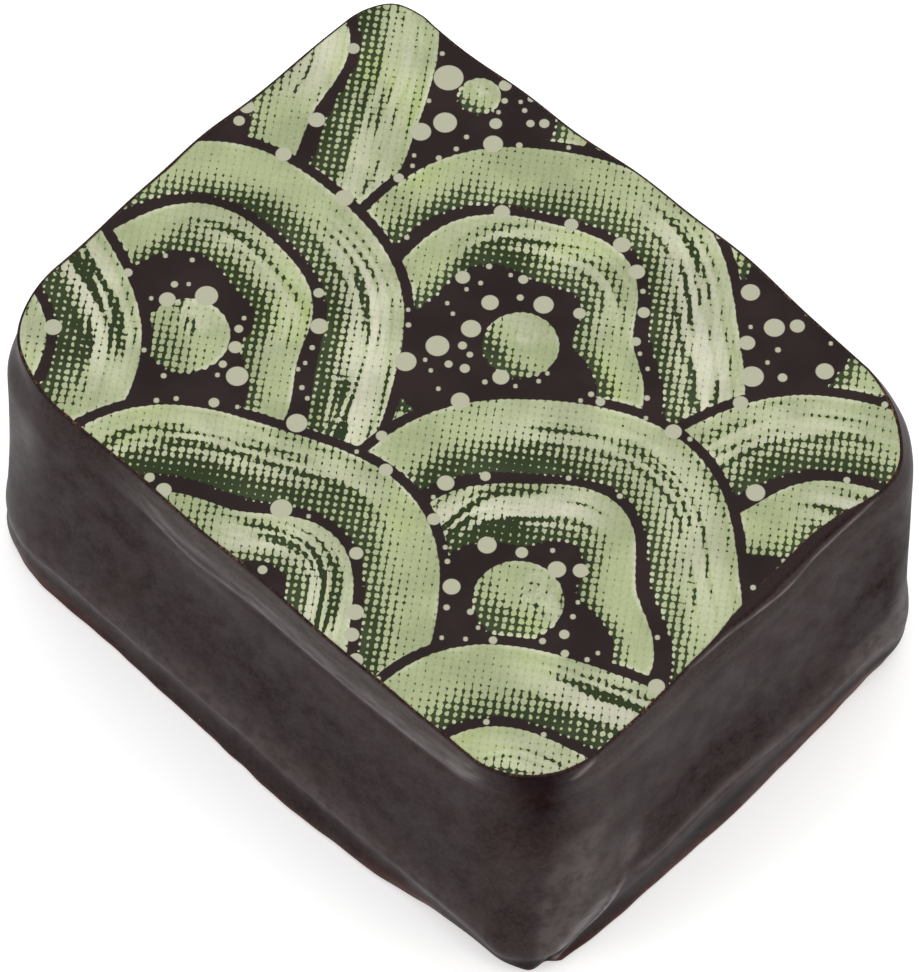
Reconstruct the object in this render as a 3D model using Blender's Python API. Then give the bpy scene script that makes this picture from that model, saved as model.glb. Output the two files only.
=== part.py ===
"""An enrobed chocolate bonbon with a flat printed face, standing on its foot.

The piece is one solid. Its shape is a loft: rounded outlines, one below the other, from the
printed face down to the foot, each pushed out from the face's outline by a flare. Sizes are in
millimetres until the mesh is made, which is in metres.
"""

from typing import NamedTuple

import bpy
import numpy as np

MM = 0.001

# Driving sizes: the printed face's length along X and width along Y, and the piece's height.
FACE_LENGTH = 30.9
FACE_WIDTH = 23.9
HEIGHT = 15.2

# Eight stations go round the outline anticlockwise, from the corner at -X -Y. The near corner
# is the one at +X -Y, and the far corner is the one across from it.
LEFT, FRONT_LEFT, NEAR, FRONT_RIGHT, RIGHT, BACK_RIGHT, FAR, BACK_LEFT = range(8)
STATIONS = 8
CORNER_REACH = 0.42  # stations from the middle of a corner's arc to its end

# Corner radii of the left, near, right and far corner, at the printed face and at the foot.
FACE_RADII = (4.7, 3.6, 4.2, 2.5)
FOOT_RADII = (3.6, 1.7, 3.2, 2.5)


class Level(NamedTuple):
    """One outline of the loft: how far it flares out from the printed face, and how high it is."""

    flare: float
    height: float


# The wall's profile from top to bottom: a rounded shoulder, a nearly upright wall that bulges to
# a ridge, a groove under the ridge, and the thin foot where the coating ran out on the tray.
PROFILE = (
    Level(0.00, HEIGHT),
    Level(0.08, HEIGHT - 0.03),
    Level(0.17, HEIGHT - 0.15),
    Level(0.50, HEIGHT - 0.95),
    Level(0.56, HEIGHT - 1.90),
    Level(0.50, 0.72 * HEIGHT),
    Level(0.46, 0.47 * HEIGHT),
    Level(0.53, 4.30),
    Level(0.68, 2.60),
    Level(0.57, 1.60),
    Level(0.61, 0.80),
    Level(0.74, 0.25),
    Level(0.62, 0.00),
)


class Run(NamedTuple):
    """Pushes at evenly set stations, each a bell that overlaps the next one."""

    first: float
    pushes: tuple[float, ...]


RUN_PITCH = 0.25  # stations from one push to the next
RUN_SPREAD = 0.17

# How far the sides bow out or in over their whole height, from the near corner all the way to
# the left one.
EDGE_RUN = Run(
    NEAR,
    (
        *(-0.05, -0.02, 0.03, 0.03, -0.03, 0.01, -0.09, 0.08),
        *(-0.16, -0.18, -0.01, 0.32, 0.27, -0.01, -0.28, -0.13),
        *(0.12, 0.06, 0.06, 0.09, 0.33, 0.23, 0.09, 0.09, 0.25),
    ),
)

# How far the foot runs out or draws back, from the left corner past the right one.
FOOT_RUN = Run(
    LEFT,
    (
        *(0.45, 0.37, 0.15, 0.07, 0.36, 0.33, -0.19, -0.15, 0.12, -0.37),
        *(0.01, -0.18, 0.02, -0.05, 0.07, 0.09, 0.22, 0.00, 0.56),
    ),
)
FOOT_RUN_HEIGHT = 0.4
FOOT_RUN_BAND = 1.1


class Dent(NamedTuple):
    """A soft bulge (push above 0) or hollow (below 0) in the wall, at a station and a height."""

    station: float
    spread: float
    height: float
    band: float
    push: float


BACK_SHOULDER = Dent(FAR, 1.35, HEIGHT - 0.6, 1.2, -0.32)
LEFT_SHOULDER = Dent(LEFT - 0.1, 0.40, HEIGHT - 0.9, 1.0, -0.34)
RIGHT_SHOULDER = Dent(RIGHT + 0.3, 0.35, HEIGHT - 0.9, 1.0, 0.02)
LEFT_CORNER_BULGE = Dent(LEFT, 0.50, 3.78, 4.5, 0.17)
LEFT_FOOT_TUCK = Dent(LEFT + 0.1, 0.40, 0.0, 1.0, -0.62)
NEAR_CORNER_HOLLOW = Dent(NEAR, 0.35, 12.5, 2.4, -0.34)
NEAR_CORNER_TUCK = Dent(NEAR, 0.34, 1.2, 2.6, -0.33)
NEAR_FOOT_TUCK = Dent(NEAR - 0.25, 0.55, 0.0, 0.6, -0.60)
NEAR_RIGHT_FOLD = Dent(NEAR + 0.45, 0.20, 1.0, 1.6, -0.30)
FRONT_RIGHT_DISH = Dent(FRONT_RIGHT + 0.05, 0.40, 7.5, 3.2, -0.16)
RIGHT_CORNER_BULGE = Dent(RIGHT, 0.50, 8.38, 4.5, 0.15)
RIGHT_FOOT_TUCK = Dent(RIGHT - 0.1, 0.50, 0.0, 0.8, -0.78)

DENTS = (
    BACK_SHOULDER,
    LEFT_SHOULDER,
    RIGHT_SHOULDER,
    LEFT_CORNER_BULGE,
    LEFT_FOOT_TUCK,
    NEAR_CORNER_HOLLOW,
    NEAR_CORNER_TUCK,
    NEAR_FOOT_TUCK,
    NEAR_RIGHT_FOLD,
    FRONT_RIGHT_DISH,
    RIGHT_CORNER_BULGE,
    RIGHT_FOOT_TUCK,
)
DENT_FADE = 0.9  # depth below the printed face over which a dent fades away

# By the near corner the ridge sinks towards the tray: the share of its height that is lost.
SINK_SHARE = 0.52
SINK_STATION = NEAR + 0.03
SINK_SPREAD = 0.42
SINK_BAND = 4.0


class Ripple(NamedTuple):
    """Small unevenness round the outline: its size, its wave counts, and where it is strongest."""

    size: float
    fewest_waves: int
    most_waves: int
    height: float
    band: float
    seed: int


RIPPLES = (
    Ripple(0.030, 6, 19, HEIGHT, 1.6, 4),
    Ripple(0.030, 2, 7, 0.45 * HEIGHT, 6.0, 9),
    Ripple(0.018, 9, 27, 0.5, 1.0, 7),
)

# How finely the loft is cut: steps along a side, along a corner's arc, and between two levels.
SIDE_STEPS = 14
CORNER_STEPS = 8
LEVEL_STEPS = 3

SHARP_ANGLE = np.radians(50)
CHOCOLATE_COLOUR = (0.030, 0.018, 0.017, 1.0)
PRINT_COLOUR = (0.330, 0.380, 0.190, 1.0)


def outline(radii):
    """Points of a rounded rectangle with four unlike corners, their normals and stations."""
    half = np.array([FACE_LENGTH, FACE_WIDTH]) / 2
    corners = np.array([(-1, -1), (1, -1), (1, 1), (-1, 1)])
    points, normals, stations = [], [], []
    for k in range(4):
        turn = np.pi * (1 + k / 2) + np.linspace(0, np.pi / 2, CORNER_STEPS + 1)
        normal = np.stack([np.cos(turn), np.sin(turn)], axis=-1)
        arc = corners[k] * (half - radii[k]) + normal * radii[k]
        after = (k + 1) % 4
        side_end = corners[after] * (half - radii[after]) + normal[-1] * radii[after]
        along = np.linspace(0, 1, SIDE_STEPS + 1)[1:-1]
        points += [arc, arc[-1] + (side_end - arc[-1]) * along[:, None]]
        normals += [normal, np.repeat(normal[-1:], len(along), axis=0)]
        stations += [
            2 * k + np.linspace(-CORNER_REACH, CORNER_REACH, CORNER_STEPS + 1),
            2 * k + CORNER_REACH + 2 * (1 - CORNER_REACH) * along,
        ]
    return np.vstack(points), np.vstack(normals), np.concatenate(stations) % STATIONS


def profile():
    """Flares and heights from top to bottom, on a smooth curve through the levels."""
    levels = np.array(PROFILE)
    last = len(levels) - 1
    where = np.linspace(0, last, last * LEVEL_STEPS + 1)
    i = np.minimum(where.astype(int), last - 1)
    f = (where - i)[:, None]
    before, start, end = levels[np.maximum(i - 1, 0)], levels[i], levels[i + 1]
    beyond = levels[np.minimum(i + 2, last)]
    curve = 0.5 * (
        2 * start
        + (end - before) * f
        + (2 * before - 5 * start + 4 * end - beyond) * f**2
        + (3 * start - before - 3 * end + beyond) * f**3
    )
    return curve[:, 0], np.clip(curve[:, 1], 0, HEIGHT)


def bell(stations, station, spread, power=2):
    """1 at a station, falling smoothly to 0 on both sides of it, the short way round."""
    gap = (stations - station + STATIONS / 2) % STATIONS - STATIONS / 2
    return np.exp(-np.abs(gap / spread) ** power)


def run_round(run, stations):
    """The sum of a run's bells at each station."""
    places = [run.first + RUN_PITCH * k for k in range(len(run.pushes))]
    bells = [p * bell(stations, at, RUN_SPREAD) for p, at in zip(run.pushes, places)]
    return np.sum(bells, axis=0)


def ripple_round(ripple, turn):
    """A sum of cosines with seeded phases, over one turn of the outline from 0 to 1."""
    waves = np.arange(ripple.fewest_waves, ripple.most_waves + 1)
    phases = np.random.default_rng(ripple.seed).uniform(0, 2 * np.pi, len(waves))
    tones = np.cos(2 * np.pi * waves[:, None] * turn[None, :] + phases[:, None])
    return ripple.size * tones.sum(axis=0) * np.sqrt(2 / len(waves))


def rings():
    """The loft's points: one row for each height, from the printed face down to the foot."""
    face, normals, stations = outline(FACE_RADII)
    foot, _, _ = outline(FOOT_RADII)
    flares, heights = profile()
    push = np.repeat(flares[:, None], len(stations), axis=1)
    height = np.repeat(heights[:, None], len(stations), axis=1)

    fade = 1 - np.clip((height - HEIGHT + DENT_FADE) / DENT_FADE, 0, 1) ** 2
    for dent in DENTS:
        round_it = bell(stations, dent.station, dent.spread)
        up_it = np.exp(-(((height - dent.height) / dent.band) ** 2))
        push = push + dent.push * round_it * up_it * fade
    low = np.exp(-(((height - FOOT_RUN_HEIGHT) / FOOT_RUN_BAND) ** 2))
    push = push + run_round(EDGE_RUN, stations) + run_round(FOOT_RUN, stations) * low

    steps = np.linalg.norm(np.roll(face, -1, axis=0) - face, axis=1)
    turn = (np.cumsum(steps) - steps) / steps.sum()
    for ripple in RIPPLES:
        up_it = np.exp(-(((height - ripple.height) / ripple.band) ** 2))
        push = push + ripple_round(ripple, turn) * up_it

    share = (height / HEIGHT)[..., None]
    plan = face * share + foot * (1 - share) + normals * push[..., None]
    sink = SINK_SHARE * bell(stations, SINK_STATION, SINK_SPREAD, power=4)
    height = height * (1 - sink * np.sqrt(np.clip(1 - height / SINK_BAND, 0, 1)))
    plan = plan - (plan.min(axis=(0, 1)) + plan.max(axis=(0, 1))) / 2
    return np.concatenate([plan, height[..., None]], axis=-1)


def loft(points):
    """Faces that join each ring to the next, closed by a flat face at the top and the bottom."""
    levels, count = points.shape[:2]
    index = np.arange(levels * count).reshape(levels, count)
    beside = np.roll(index, -1, axis=1)
    walls = np.stack([index[:-1], index[1:], beside[1:], beside[:-1]], axis=-1).reshape(-1, 4)
    top, bottom = index[0], index[-1][::-1]
    return [top.tolist(), bottom.tolist(), *walls.tolist()]


def principled(name, colour, roughness):
    """A material with one colour and roughness."""
    material = bpy.data.materials.new(name)
    material.use_nodes = True
    shader = material.node_tree.nodes["Principled BSDF"]
    shader.inputs["Base Color"].default_value = colour
    shader.inputs["Roughness"].default_value = roughness
    return material


def make_bonbon(collection):
    """The whole piece. Its top face carries the print's colour, the rest is chocolate."""
    points = rings()
    mesh = bpy.data.meshes.new("bonbon")
    mesh.from_pydata((points.reshape(-1, 3) * MM).tolist(), [], loft(points))
    mesh.materials.append(principled("dark chocolate", CHOCOLATE_COLOUR, 0.42))
    mesh.materials.append(principled("printed face", PRINT_COLOUR, 0.55))
    mesh.polygons[0].material_index = 1
    mesh.shade_smooth()
    mesh.set_sharp_from_angle(angle=SHARP_ANGLE)
    bonbon = bpy.data.objects.new("bonbon", mesh)
    collection.objects.link(bonbon)
    return bonbon


def main():
    """Clears the scene and builds the piece in its own collection."""
    for thing in list(bpy.data.objects):
        bpy.data.objects.remove(thing)
    collection = bpy.data.collections.new("chocolate bonbon")
    bpy.context.scene.collection.children.link(collection)
    make_bonbon(collection)


main()
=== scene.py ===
"""Looks of one enrobed chocolate bonbon with a printed face, on a pale studio floor.

Lengths are in millimetres up to the moment a mesh is made, which is in metres. The coat and
the printed face are grid surfaces worked out with numpy; their materials are node-based.
"""

import logging
from dataclasses import dataclass, field
from enum import Enum, IntEnum
from typing import Optional, Sequence, Union

import bpy
import numpy as np
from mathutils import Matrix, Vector


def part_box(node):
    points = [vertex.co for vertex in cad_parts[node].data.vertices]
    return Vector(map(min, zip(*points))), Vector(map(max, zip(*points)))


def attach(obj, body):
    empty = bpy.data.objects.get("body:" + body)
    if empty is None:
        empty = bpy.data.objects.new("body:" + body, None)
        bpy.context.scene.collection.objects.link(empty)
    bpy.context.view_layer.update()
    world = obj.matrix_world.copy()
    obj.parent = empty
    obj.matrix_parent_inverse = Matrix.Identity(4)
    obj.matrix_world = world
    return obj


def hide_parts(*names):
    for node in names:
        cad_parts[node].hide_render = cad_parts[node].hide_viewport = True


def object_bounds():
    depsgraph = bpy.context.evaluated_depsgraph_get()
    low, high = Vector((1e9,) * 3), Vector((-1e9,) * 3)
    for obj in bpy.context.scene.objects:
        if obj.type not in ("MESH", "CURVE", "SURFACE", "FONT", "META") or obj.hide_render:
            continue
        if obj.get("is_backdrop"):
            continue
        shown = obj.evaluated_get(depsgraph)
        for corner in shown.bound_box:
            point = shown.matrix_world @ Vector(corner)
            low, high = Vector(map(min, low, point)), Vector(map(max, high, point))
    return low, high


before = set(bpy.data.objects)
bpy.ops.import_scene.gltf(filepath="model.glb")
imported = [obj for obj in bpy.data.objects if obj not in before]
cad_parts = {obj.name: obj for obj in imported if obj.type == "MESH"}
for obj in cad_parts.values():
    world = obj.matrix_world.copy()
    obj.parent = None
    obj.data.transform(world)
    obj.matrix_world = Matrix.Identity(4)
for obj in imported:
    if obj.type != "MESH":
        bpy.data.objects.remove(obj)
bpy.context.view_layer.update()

log = logging.getLogger("bonbon")

Array = np.ndarray
Colour = tuple[float, float, float]
Socket = bpy.types.NodeSocket
Node = bpy.types.Node
Tree = bpy.types.NodeTree
Feed = Union[Socket, float, int, Sequence[float]]

MM = 0.001
NODE = "bonbon"
FULL_TURN = 2 * np.pi
SCREEN_ANGLE = 35.5  # degrees from +X to the print's rows of dots
DOT_SQUEEZE = (1.3, 0.8)  # how much the dots are squeezed across and along their rows
DOT_REACH = 0.7246  # cells from a dot's middle to the foot of its hill
RUN_TILT = np.radians(30.44)  # how far the coat's marks lean from upright as they run
RUN_TURN = np.radians(44.0)  # which way they lean, from the front
NOISE_TABLE = 4096  # random numbers that the lattice's corners draw from
NOISE_STRIDES = (1, 57, 113)
NOISE_MIX = 2654435761


class Station(IntEnum):
    """Eight places round the outline, anticlockwise from the corner at -X -Y."""

    LEFT = 0
    FRONT_LEFT = 1
    NEAR = 2
    FRONT_RIGHT = 3
    RIGHT = 4
    BACK_RIGHT = 5
    FAR = 6
    BACK_LEFT = 7


class Slot(Enum):
    """The record's material slots."""

    CHOCOLATE = "dark_chocolate"
    PRINT = "printed_face"


class Mark(Enum):
    """Named values that the coat's mesh carries from row to row for its material."""

    RIM = "rim"
    SHOULDER = "shoulder"
    # painted highlight along the crease crests
    CREST_HIGHLIGHT = "crest"
    # painted highlights (above 0) and painted shade (below 0) from the coat's patches
    PAINTED_HIGHLIGHT_AND_SHADE = "cloud"
    # painted shade in the groove above the foot
    GROOVE_SHADE = "groove"
    FOOT = "foot"
    THIN = "thin"
    # painted shade at the near corner, where the coat's roughness and specular level are also lower
    NEAR_CORNER = "near_corner"


class Ink(Enum):
    """Named values that the printed face's mesh carries for its material."""

    LIT = "lit"
    TONE = "tone"
    CREAM = "cream"
    SHADE = "shade"
    DOTS = "dots"
    BORDER = "border"


def smooth_step(value: Array, low: float, high: float) -> Array:
    """Rises from 0 at low to 1 at high as 3t^2 - 2t^3."""
    t = np.clip((value - low) / (high - low), 0, 1)
    return t * t * (3 - 2 * t)


def bell(value: Array, middle: float, width: float, power: int = 2) -> Array:
    """1 at the middle, falling to 0 on both sides as exp(-|(value - middle) / width|^power)."""
    return np.exp(-(np.abs((value - middle) / width) ** power))


def lattice_noise(points: Array, size: float, seed: int) -> Array:
    """Smooth random values on a lattice, mixed by smooth steps between its corners.

    Args:
        points: positions with the axes last, in millimetres.
        size: the lattice's spacing, in millimetres.
        seed: which random table is used.

    Returns:
        Numbers from -1 to 1, one for each position.
    """
    axes = points.shape[-1]
    table = np.random.default_rng(seed).uniform(-1, 1, NOISE_TABLE)
    cell = points / size
    low = np.floor(cell).astype(np.int64)
    t = smooth_step(cell - low, 0, 1)
    total = np.zeros(points.shape[:-1])
    for corner in np.ndindex(*(2,) * axes):
        at = np.array(corner)
        weight = np.prod(np.where(at == 1, t, 1 - t), axis=-1)
        key = ((low + at) * NOISE_STRIDES[:axes]).sum(axis=-1)
        total += weight * table[(key * NOISE_MIX >> 7) % NOISE_TABLE]
    return total


def layered_noise(points: Array, size: float, layers: int, seed: int) -> Array:
    """Lattice noise of several sizes added up, each half the size and strength of the last.

    Args:
        points: positions with the axes last, in millimetres.
        size: the coarsest spacing.
        layers: how many sizes are added.
        seed: the first random table.

    Returns:
        Numbers of about -1 to 1.
    """
    shares = [1 / 2**n for n in range(layers)]
    parts = [share * lattice_noise(points, size * share, seed + n) for n, share in enumerate(shares)]
    return sum(parts) / sum(shares)


def along_the_run(points: Array, share: float) -> Array:
    """Turns points so that the coat's running direction is the last axis, and squeezes it.

    Args:
        points: positions with the axes last.
        share: what the last axis is multiplied by; below 1 draws a pattern out along it.

    Returns:
        The turned positions.
    """
    east, north, lean = np.cos(RUN_TURN), np.sin(RUN_TURN), np.sin(RUN_TILT)
    side = np.array([east, north, 0.0])
    slope = np.array([north * lean, -east * lean, np.cos(RUN_TILT)])
    across = np.cross(slope, side)
    return np.stack([points @ side, points @ across, share * (points @ slope)], axis=-1)


def bell_round(stations: Array, station: float, spread: float, power: int = 2) -> Array:
    """A bell whose gap from the station is measured the shorter way round the outline.

    Args:
        stations: station numbers round the outline, from 0 to 8.
        station: where the bell stands.
        spread: its half width, in stations.
        power: 2 for a bell, 4 or more for a flat-topped one.

    Returns:
        Numbers from 0 to 1.
    """
    count = len(Station)
    gap = (stations - station + count / 2) % count - count / 2
    return bell(gap, 0, spread, power)


@dataclass(frozen=True)
class Level:
    """One outline of the loft: its flare, its height, and the rows down to the next one."""

    flare: float
    height: float
    rows: int = 0


@dataclass(frozen=True)
class Run:
    """Pushes at evenly set stations, each a bell that overlaps the next one."""

    first: float
    pushes: tuple[float, ...]
    pitch: float = 0.25
    spread: float = 0.17

    def along(self, stations: Array) -> Array:
        """Adds up the bells, each centred on its own station.

        Args:
            stations: station numbers round the outline.

        Returns:
            The push at each station, in millimetres.
        """
        bells = [
            push * bell_round(stations, self.first + self.pitch * k, self.spread)
            for k, push in enumerate(self.pushes)
        ]
        return np.sum(bells, axis=0)


@dataclass(frozen=True)
class Dent:
    """A soft bulge, or a hollow where push is below 0, at a station and a height."""

    station: float
    spread: float
    height: float
    band: float
    push: float


@dataclass(frozen=True)
class Ripple:
    """Unevenness round the outline, as cosines of several wave counts."""

    size: float
    fewest_waves: int
    most_waves: int
    height: float
    band: float
    seed: int

    def along(self, turn: Array) -> Array:
        """Adds the cosines, each with a phase of its own from a seeded draw.

        Args:
            turn: places round the outline, from 0 to 1.

        Returns:
            The push at each place, in millimetres.
        """
        waves = np.arange(self.fewest_waves, self.most_waves + 1)
        phases = np.random.default_rng(self.seed).uniform(0, FULL_TURN, len(waves))
        tones = np.cos(FULL_TURN * waves[:, None] * turn[None, :] + phases[:, None])
        return self.size * tones.sum(axis=0) * np.sqrt(2 / len(waves))


@dataclass(frozen=True)
class Crease:
    """A thin raised or sunk line in the coat, drawn through (station, height) knots."""

    knots: tuple[tuple[float, float], ...]
    width: float
    push: float
    # strength of the painted highlight laid along the line
    shine: float = 0.0
    fade: float = 0.10
    rounding: float = 0.04

    def share_at(self, stations: Array, height: Array) -> Array:
        """A bell across the line that the knots draw, easing in and out at its ends.

        Args:
            stations: station numbers round the outline.
            height: heights of the surface's points, row by row.

        Returns:
            Numbers from 0 to 1, 1 on the line.
        """
        places, heights = np.array(self.knots).T
        count = len(Station)
        turned = (stations - places[0] + 0.5) % count + places[0] - 0.5
        into, left = (turned - places[0]) / self.fade, (places[-1] - turned) / self.fade
        ends = smooth_step(into, 0, 1) * smooth_step(left, 0, 1)
        shifts = np.linspace(-self.rounding, self.rounding, 5)
        line = np.mean([np.interp(turned + shift, places, heights) for shift in shifts], axis=0)
        return ends * bell(height, line, self.width)


@dataclass(frozen=True)
class Patch:
    """A bell-shaped patch on the coat: a painted highlight, painted shade, or a place where the coat
    is thin.
    """

    station: float
    spread: float
    height: float
    band: float
    strength: float
    power: int = 2
    lean: float = 0.0

    def share_at(self, stations: Array, height: Array) -> Array:
        """The strength times a bell in stations and a bell in height, leaning if asked to.

        Args:
            stations: station numbers round the outline.
            height: heights of the surface's points, row by row.

        Returns:
            The strength at each point.
        """
        leaning = stations - self.lean * (height - self.height)
        round_it = bell_round(leaning, self.station, self.spread, self.power)
        return self.strength * round_it * bell(height, self.height, self.band, self.power)


@dataclass(frozen=True)
class Form:
    """The piece's form: rounded outlines from the printed face down to the foot."""

    length: float = 30.9
    width: float = 23.9
    height: float = 15.2
    corner_reach: float = 0.42
    face_radii: tuple[float, ...] = (4.7, 3.6, 4.2, 2.5)
    foot_radii: tuple[float, ...] = (3.6, 1.7, 3.2, 2.5)
    dent_fade: float = 0.9
    sink_share: float = 0.52
    sink_station: float = Station.NEAR + 0.03
    sink_spread: float = 0.42
    sink_band: float = 4.0
    bare_station: float = 3.23
    foot_height: float = 0.4
    foot_band: float = 1.1
    long_steps: int = 126
    short_steps: int = 94
    corner_steps: int = 48

    def profile(self) -> tuple[Level, ...]:
        """The wall's levels: shoulder, upright wall, ridge, groove and foot."""
        top = self.height
        return (
            Level(0.00, top, 3),
            Level(0.08, top - 0.03, 5),
            Level(0.17, top - 0.15, 14),
            Level(0.50, top - 0.95, 13),
            Level(0.56, top - 1.90, 20),
            Level(0.50, 0.72 * top, 22),
            Level(0.46, 0.47 * top, 18),
            Level(0.53, 4.30, 14),
            Level(0.68, 2.60, 10),
            Level(0.57, 1.60, 8),
            Level(0.61, 0.80, 7),
            Level(0.74, 0.25, 4),
            Level(0.62, 0.00),
        )

    def edge_run(self) -> Run:
        """How far the sides bow out or in over their whole height, from the near corner on."""
        return Run(Station.NEAR, (
            -0.05, -0.02, 0.03, 0.03, -0.03, 0.01, -0.09, 0.08,
            -0.16, -0.18, -0.01, 0.32, 0.27, -0.01, -0.28, -0.13,
            0.12, 0.06, 0.06, 0.09, 0.33, 0.23, 0.09, 0.09, 0.25,
        ))

    def foot_run(self) -> Run:
        """How far the foot runs out or draws back, from the left corner past the right one."""
        return Run(Station.LEFT, (
            0.45, 0.37, 0.15, 0.07, 0.36, 0.33, -0.19, -0.15, 0.12, -0.37,
            0.01, -0.18, 0.02, -0.05, 0.07, 0.09, 0.22, 0.00, 0.56,
        ))

    def dents(self) -> tuple[Dent, ...]:
        """The bulges and hollows of the wall, corner by corner."""
        top = self.height
        return (
            Dent(Station.FAR, 1.35, top - 0.6, 1.2, -0.32),
            Dent(Station.LEFT - 0.1, 0.40, top - 0.9, 1.0, -0.34),
            Dent(Station.RIGHT + 0.3, 0.35, top - 0.9, 1.0, 0.02),
            Dent(Station.LEFT, 0.50, 3.78, 4.5, 0.17),
            Dent(Station.LEFT + 0.1, 0.40, 0.0, 1.0, -0.62),
            Dent(Station.NEAR, 0.35, 12.5, 2.4, -0.34),
            Dent(Station.NEAR, 0.34, 1.2, 2.6, -0.33),
            Dent(Station.NEAR - 0.25, 0.55, 0.0, 0.6, -0.60),
            Dent(Station.NEAR + 0.45, 0.20, 1.0, 1.6, -0.30),
            Dent(Station.FRONT_RIGHT + 0.05, 0.40, 7.5, 3.2, -0.16),
            Dent(Station.RIGHT, 0.50, 8.38, 4.5, 0.15),
            Dent(Station.RIGHT - 0.1, 0.50, 0.0, 0.8, -0.78),
        )

    def ripples(self) -> tuple[Ripple, ...]:
        """Unevenness of the rim, the wall and the foot."""
        return (
            Ripple(0.030, 6, 19, self.height, 1.6, 4),
            Ripple(0.030, 2, 7, 0.45 * self.height, 6.0, 9),
            Ripple(0.018, 9, 27, 0.5, 1.0, 7),
            Ripple(0.008, 30, 80, 0.25, 0.5, 21),
        )

    def creases(self) -> tuple[Crease, ...]:
        """Fine lines where the coating folded or ran as it set.

        Returns:
            The creases of the shoulder, then those of the ridge and the fold by the near corner.
        """
        upper = ((0.64, 15.00), (0.70, 14.60), (0.76, 14.25), (0.83, 14.22), (0.90, 14.44),
                 (1.00, 14.42), (1.10, 14.40), (1.20, 14.30), (1.32, 14.32), (1.45, 14.46),
                 (1.58, 14.75), (1.72, 15.00))
        lower = ((0.66, 14.40), (0.76, 13.84), (0.83, 13.55), (0.92, 13.76), (1.00, 14.02),
                 (1.15, 13.98), (1.30, 13.94), (1.45, 14.08), (1.60, 14.45), (1.75, 14.75))
        top_edge = ((2.78, 15.16), (2.88, 15.08), (2.97, 15.12), (3.05, 15.06), (3.12, 14.94),
                    (3.18, 14.85), (3.24, 14.88), (3.31, 14.99), (3.40, 14.97), (3.50, 15.04),
                    (3.60, 15.16))
        short = ((2.20, 14.70), (2.30, 14.90), (2.42, 15.12))
        ridge_right = ((2.60, 3.55), (2.74, 3.00), (2.82, 3.28), (2.95, 3.42), (3.08, 3.20),
                       (3.20, 2.90), (3.35, 2.62), (3.55, 2.70), (3.70, 2.60))
        ridge_under = ((2.62, 2.30), (2.74, 2.62), (2.90, 2.86), (3.05, 2.78), (3.20, 2.46),
                       (3.45, 2.25))
        fold = ((2.28, 0.40), (2.37, 0.70), (2.46, 1.50), (2.54, 2.70), (2.62, 3.90))
        ridge_left = ((0.15, 2.15), (0.34, 2.50), (0.48, 2.68), (0.58, 2.20), (0.75, 2.28),
                      (0.92, 2.35), (1.05, 2.15), (1.25, 2.18), (1.42, 2.45), (1.60, 2.60))
        fold_low = ((2.22, 2.40), (2.32, 2.85), (2.42, 3.00), (2.50, 3.08), (2.58, 3.40))
        return (
            Crease(upper, 0.16, 0.022, 0.35),
            Crease(lower, 0.21, 0.035, 0.52),
            Crease(tuple((at, z - 0.45) for at, z in lower), 0.30, -0.025),
            Crease(top_edge, 0.055, 0.030, 0.85, 0.06),
            Crease(short, 0.10, 0.025, 1.00, 0.08),
            Crease(ridge_right, 0.24, 0.020, 0.26),
            Crease(ridge_under, 0.16, 0.015, 0.10),
            Crease(fold, 0.26, 0.080, 1.60, 0.08),
            Crease(ridge_left, 0.26, 0.035, 0.15),
            Crease(fold_low, 0.50, 0.0, 0.95, 0.08),
        )

    def shoulder_share(self, stations: Array) -> Array:
        """How far the shoulder is dulled to grey, by straight lines between knots.

        Args:
            stations: station numbers round the outline.

        Returns:
            The share at each station.
        """
        knots = np.array((
            (0.00, 0.12), (0.55, 0.15), (0.72, 1.20), (1.60, 1.40), (1.76, 0.50), (1.94, 0.05),
            (2.12, 0.00), (2.30, 0.70), (2.72, 0.70), (2.88, 0.45), (3.55, 0.45), (4.30, 0.25),
            (5.00, 0.60), (7.00, 0.60), (7.60, 0.30), (8.00, 0.12),
        ))
        return np.interp(stations, knots[:, 0], knots[:, 1])

    def clouds(self) -> tuple[Patch, ...]:
        """Painted highlights and painted shade on the coat: a strength above 0 paints a highlight
        into its colour and raises its gloss, one below 0 paints shade into it and lowers its gloss.
        """
        return (
            Patch(0.25, 0.16, 10.5, 2.8, 0.40),
            Patch(0.84, 0.09, 12.9, 0.5, 0.45),
            Patch(2.28, 0.18, 6.2, 4.0, 0.92, 8, 0.012),
            Patch(2.62, 0.03, 5.3, 1.1, 0.95),
            Patch(2.52, 0.12, 5.4, 1.9, 0.55, 2, 0.0),
            Patch(2.20, 0.10, 3.2, 1.6, 0.50),
            Patch(2.30, 0.12, 11.0, 2.8, 0.20),
            Patch(3.74, 0.11, 4.0, 1.9, 1.20),
            Patch(3.56, 0.12, 3.2, 1.0, 1.80),
            Patch(3.00, 0.40, 0.3, 0.4, 1.30),
            Patch(0.15, 0.20, 1.6, 1.4, 0.50),
            Patch(7.95, 0.18, 11.0, 3.5, 0.28),
            Patch(0.95, 0.75, 2.6, 1.4, 0.85),
            Patch(3.05, 0.55, 3.1, 0.5, 0.75),
            Patch(3.15, 0.35, 12.0, 2.4, 0.10),
            Patch(0.55, 0.15, 12.3, 2.4, -0.30, 4),
            Patch(0.44, 0.16, 10.2, 2.2, -0.20),
            Patch(2.88, 0.24, 5.6, 2.1, -0.42, 4),
            Patch(3.25, 0.20, 5.0, 1.0, -0.22, 4),
            Patch(3.57, 0.17, 6.6, 2.4, -0.36),
            Patch(3.64, 0.20, 10.0, 3.6, -0.40),
            Patch(4.05, 0.24, 9.0, 6.0, -0.60),
            Patch(3.05, 0.45, 10.0, 3.0, -0.22),
            Patch(2.07, 0.08, 6.3, 2.6, 0.45),
            Patch(1.80, 0.28, 4.4, 1.2, -0.20),
            Patch(1.86, 0.12, 8.0, 2.6, 0.40),
            Patch(1.05, 0.70, 7.8, 3.4, -0.42),
        )

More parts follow.
